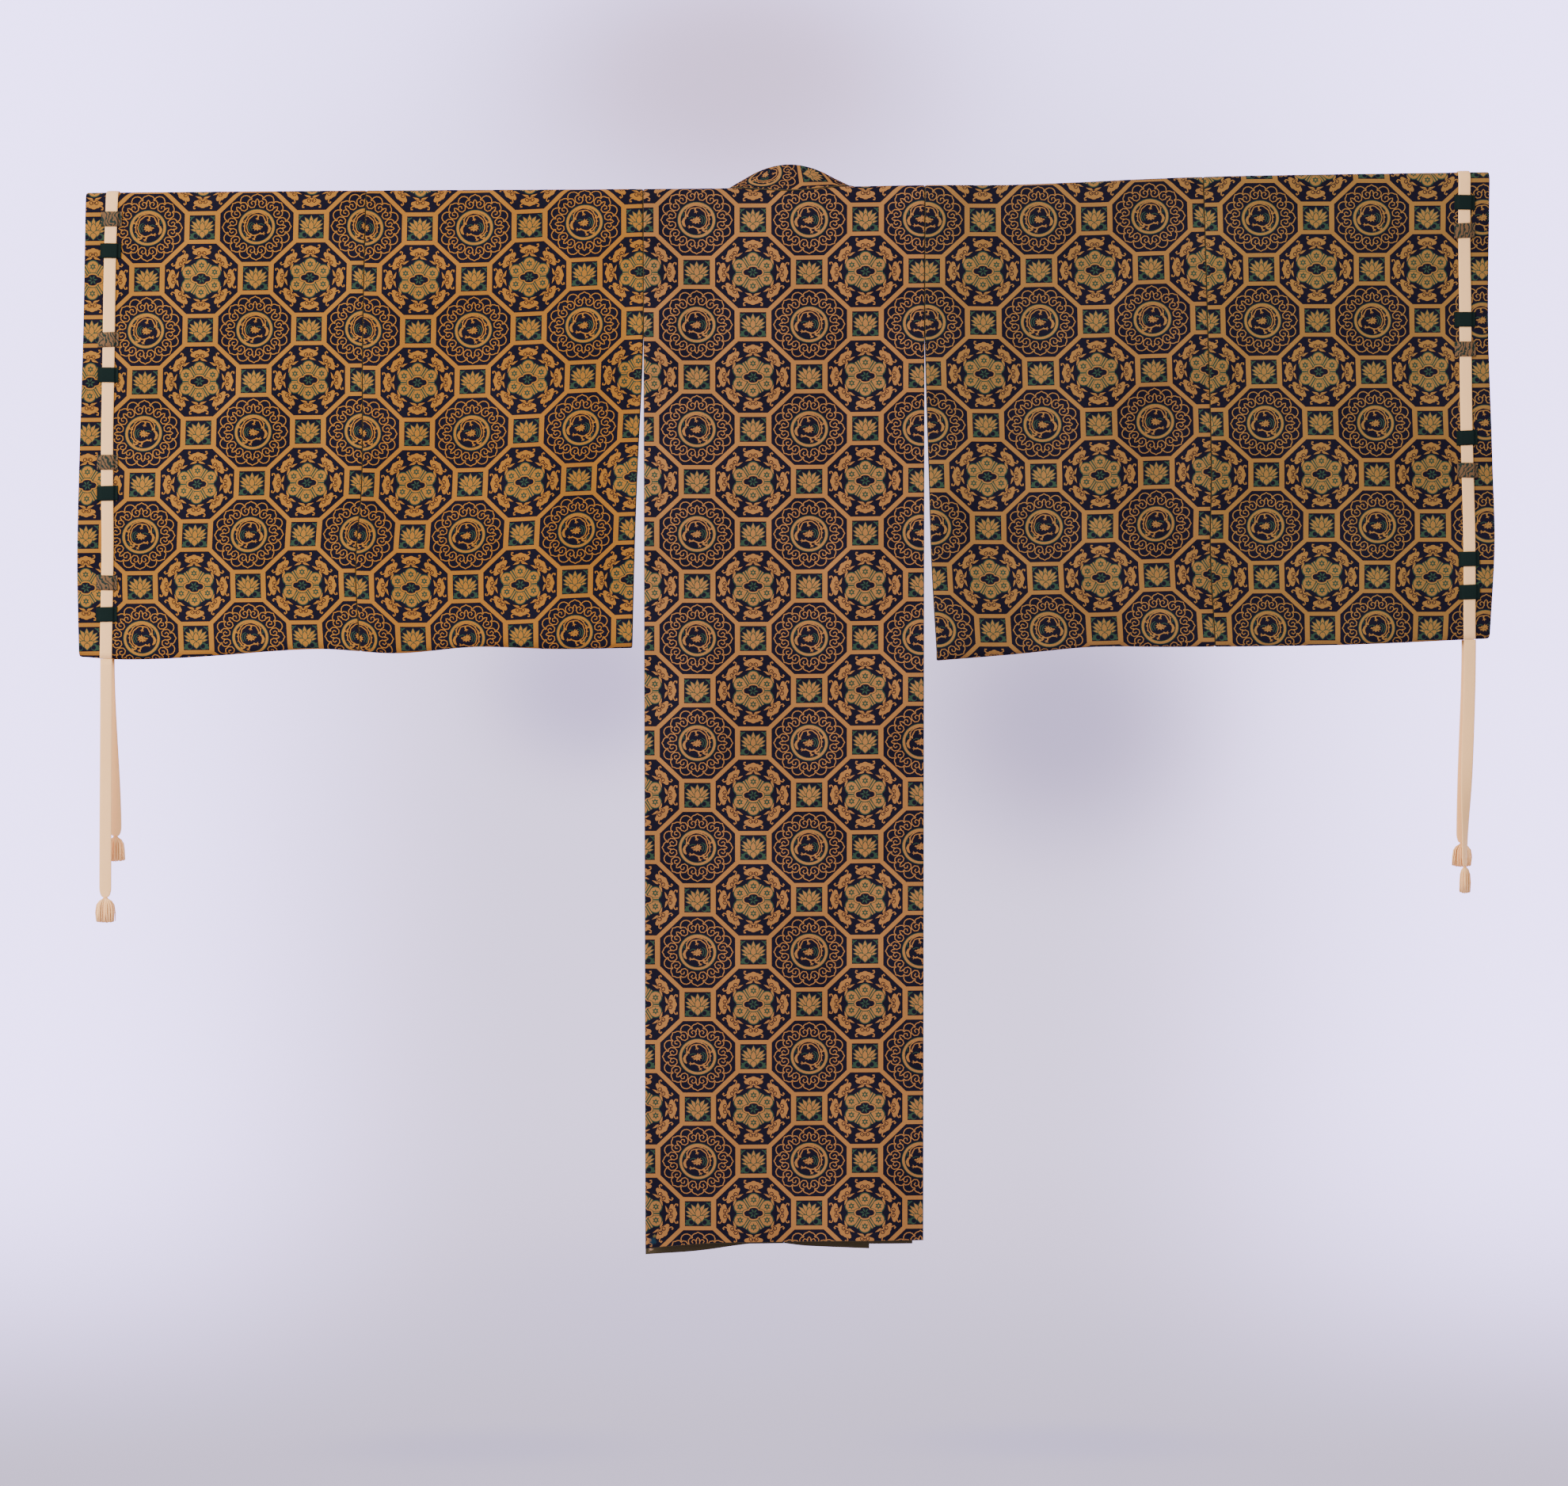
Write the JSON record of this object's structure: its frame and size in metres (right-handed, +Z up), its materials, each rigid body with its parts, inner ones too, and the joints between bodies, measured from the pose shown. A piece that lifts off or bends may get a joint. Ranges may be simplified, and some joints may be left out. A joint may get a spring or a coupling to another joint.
{
  "type": "ceremonial robe on a hanging rod",
  "caption": "Wide-sleeved brocade robe with a round standing collar and tasselled wrist cords, hung flat on a rod through its sleeves.",
  "frame": {"origin": "on the rod's centre line where the middle of the robe hangs", "axes": "+X along the rod to the right as seen from behind the robe, +Y from the robe's back to its front, +Z up"},
  "size_m": [2.014, 0.0614, 1.5517],
  "materials": {
    "brocade": "dark navy figured silk with tan gold and green weft, plain olive brown lining",
    "braid": "flat silk braid, pale peach",
    "loop_green": "dark green silk",
    "loop_brocade": "green and gold figured silk",
    "tassel": "loose silk threads, pale peach",
    "rod": "smooth, lightly oiled"
  },
  "bodies": {
    "root": {"body_back": "brocade", "body_front_left": "brocade", "body_front_right": "brocade", "overlap_left": "brocade", "overlap_right": "brocade", "collar": "brocade", "sleeve_left_inner": "brocade", "sleeve_left_outer": "brocade", "sleeve_right_inner": "brocade", "sleeve_right_outer": "brocade", "collar_knot": "braid", "collar_loop": "braid", "cord_tape_left": "braid", "cord_tape_right": "braid", "loop_left_back_1": "loop_brocade", "loop_left_back_2": "loop_green", "loop_left_back_3": "loop_brocade", "loop_left_back_4": "loop_green", "loop_left_back_5": "loop_brocade", "loop_left_back_6": "loop_green", "loop_left_back_7": "loop_brocade", "loop_left_back_8": "loop_green", "loop_left_front_1": "loop_brocade", "loop_left_front_2": "loop_green", "loop_left_front_3": "loop_brocade", "loop_left_front_4": "loop_green", "loop_left_front_5": "loop_brocade", "loop_left_front_6": "loop_green", "loop_left_front_7": "loop_brocade", "loop_left_front_8": "loop_green", "loop_right_back_1": "loop_green", "loop_right_back_2": "loop_brocade", "loop_right_back_3": "loop_green", "loop_right_back_4": "loop_brocade", "loop_right_back_5": "loop_green", "loop_right_back_6": "loop_brocade", "loop_right_back_7": "loop_green", "loop_right_back_8": "loop_green", "loop_right_front_1": "loop_green", "loop_right_front_2": "loop_brocade", "loop_right_front_3": "loop_green", "loop_right_front_4": "loop_brocade", "loop_right_front_5": "loop_green", "loop_right_front_6": "loop_brocade", "loop_right_front_7": "loop_green", "loop_right_front_8": "loop_green", "tape_end_left_back": "braid", "tape_end_left_front": "braid", "tape_end_right_back": "braid", "tape_end_right_front": "braid", "tassel_left_back": "tassel", "tassel_left_front": "tassel", "tassel_right_back": "tassel", "tassel_right_front": "tassel", "rod": "rod"}
  },
  "joints": []
}
